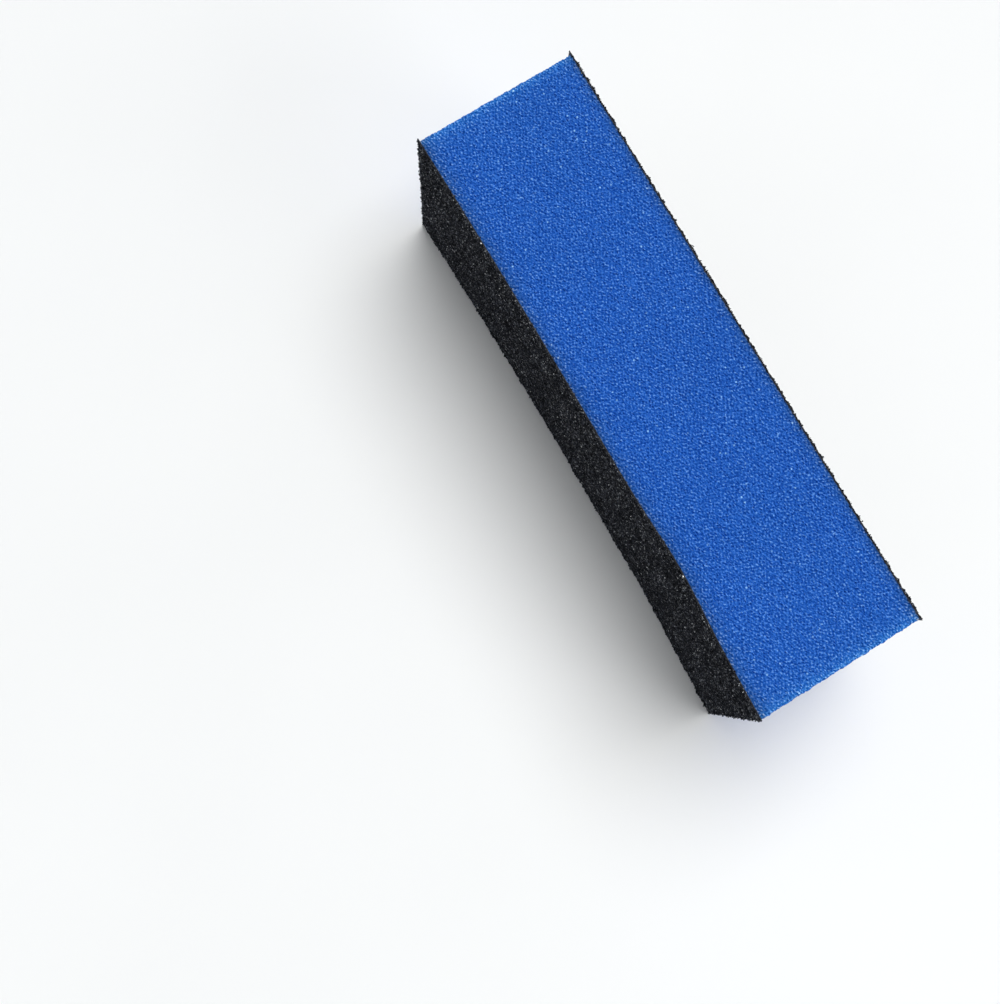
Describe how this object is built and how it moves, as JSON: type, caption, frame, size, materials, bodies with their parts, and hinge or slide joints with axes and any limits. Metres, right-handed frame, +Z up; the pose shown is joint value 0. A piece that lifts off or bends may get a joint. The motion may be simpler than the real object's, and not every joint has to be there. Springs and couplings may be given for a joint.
{
  "type": "foam sanding block",
  "caption": "Straight foam sanding block with a coloured soft core and coarse black abrasive laminated to two opposite sides.",
  "frame": {"origin": "middle of the underside, where the bare foam face rests on the table", "axes": "+X along the block's length, +Y across the plies and out of one abrasive side, +Z up out of the bare foam face"},
  "size_m": [0.095, 0.0264, 0.035],
  "materials": {
    "foam": "matte open-cell foam",
    "adhesive": "rubbery satin",
    "backing": "matte fibrous",
    "resin": "semi-gloss resin",
    "grit": "coarse angular grain with glinting facets"
  },
  "bodies": {
    "root": {"foam_core": "foam", "left_adhesive_film": "adhesive", "left_backing_sheet": "backing", "left_bond_coat": "resin", "left_grit_layer": "grit", "right_adhesive_film": "adhesive", "right_backing_sheet": "backing", "right_bond_coat": "resin", "right_grit_layer": "grit"}
  },
  "joints": []
}
